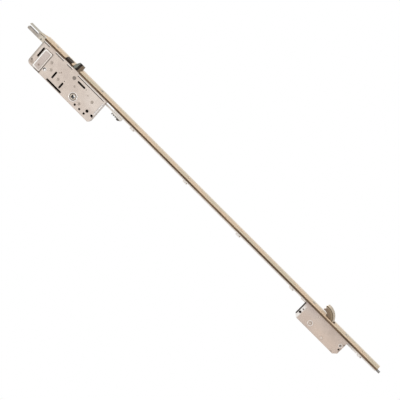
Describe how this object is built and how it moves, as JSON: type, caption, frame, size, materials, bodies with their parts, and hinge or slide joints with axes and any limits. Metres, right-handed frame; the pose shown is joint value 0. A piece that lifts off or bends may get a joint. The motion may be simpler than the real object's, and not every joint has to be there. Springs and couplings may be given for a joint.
{
  "type": "espagnolette gearbox",
  "caption": "Multipoint espagnolette lock: U-rail faceplate with a bevelled latch and trigger, pressed gear case with square follower, sliding drive rod and a swing hook in a lower case.",
  "frame": {"origin": "centreline of the faceplate's front face, level with the spindle follower's axis", "axes": "+Z along the rail towards the gear case end, +X out of the faceplate, -Y out of the two case covers"},
  "size_m": [0.0944, 0.024, 1.076],
  "materials": {
    "bronze_finish": "satin bronze-toned finish on folded steel",
    "bright_zinc": "bright zinc-plated pressed steel",
    "dark_steel": "dull grey steel",
    "nickel": "smooth nickel-plated casting",
    "hook_steel": "brown-toned hardened steel",
    "black_plastic": "black moulded plastic",
    "spring_steel": "drawn spring wire"
  },
  "bodies": {
    "housing": {"faceplate_rail": "bronze_finish", "gearbox_shell": "bright_zinc", "gearbox_cover": "bright_zinc", "case_post_1": "bright_zinc", "case_post_2": "bright_zinc", "case_post_3": "bright_zinc", "case_post_4": "bright_zinc", "case_post_5": "bright_zinc", "idler_pin": "dark_steel", "spring_guide": "dark_steel", "gearbox_screw_1": "dark_steel", "gearbox_screw_2": "dark_steel", "gearbox_nut_1": "dark_steel", "gearbox_nut_2": "dark_steel", "rod_guide_1": "bright_zinc", "rod_guide_2": "bright_zinc", "rod_guide_3": "bright_zinc", "rod_guide_4": "bright_zinc", "rod_guide_5": "bright_zinc", "hook_case_shell": "bright_zinc", "hook_case_cover": "bright_zinc", "hook_case_post_1": "bright_zinc", "hook_case_post_2": "bright_zinc", "hook_case_post_3": "bright_zinc", "hook_case_screw_1": "dark_steel", "hook_case_screw_2": "dark_steel", "hook_case_nut_1": "dark_steel", "hook_case_nut_2": "dark_steel", "hook_pin": "dark_steel", "latch_spring": "spring_steel", "trigger_spring": "spring_steel"},
    "drive": {"drive_rack": "bright_zinc", "drive_fork": "bright_zinc", "fork_pin": "dark_steel", "rod_coupler": "dark_steel", "coupler_rack": "dark_steel", "coupler_screw": "dark_steel", "drive_rod_upper": "bright_zinc", "drive_rod_lower": "bright_zinc", "hook_rack": "bright_zinc"},
    "follower": {"follower_hub": "bright_zinc"},
    "idler": {"idler_gear": "dark_steel"},
    "latch": {"latch_bolt": "nickel", "latch_insert": "black_plastic", "latch_stop_clip": "dark_steel"},
    "trigger": {"trigger_bolt": "black_plastic"},
    "hook": {"hook_bolt": "hook_steel"}
  },
  "joints": [
    {"name": "drive_slide", "type": "slide", "parent": "housing", "child": "drive", "axis": [0, 0, 1], "range_m": [0, 0.01885]},
    {"name": "follower_turn", "type": "hinge", "parent": "housing", "child": "follower", "pos_m": [-0.055, 0, 0], "axis": [0, 1, 0], "range_deg": [0, 90]},
    {"name": "idler_turn", "type": "hinge", "parent": "housing", "child": "idler", "pos_m": [-0.03518, 0, 0.01215], "axis": [0, 1, 0], "range_deg": [-96, 0]},
    {"name": "hook_swing", "type": "hinge", "parent": "housing", "child": "hook", "pos_m": [-0.012, 0, -0.722], "axis": [0, 1, 0], "range_deg": [0, 90]},
    {"name": "latch_slide", "type": "slide", "parent": "housing", "child": "latch", "axis": [1, 0, 0], "range_m": [-0.0095, 0], "deforming": ["latch_spring"]},
    {"name": "trigger_slide", "type": "slide", "parent": "housing", "child": "trigger", "axis": [1, 0, 0], "range_m": [-0.005, 0], "deforming": ["trigger_spring"]}
  ],
  "couplings": [
    {"joint": "follower_turn", "follows": "drive_slide", "rad_per_m": 83.333},
    {"joint": "idler_turn", "follows": "drive_slide", "rad_per_m": -88.889},
    {"joint": "hook_swing", "follows": "drive_slide", "rad_per_m": 83.333}
  ]
}
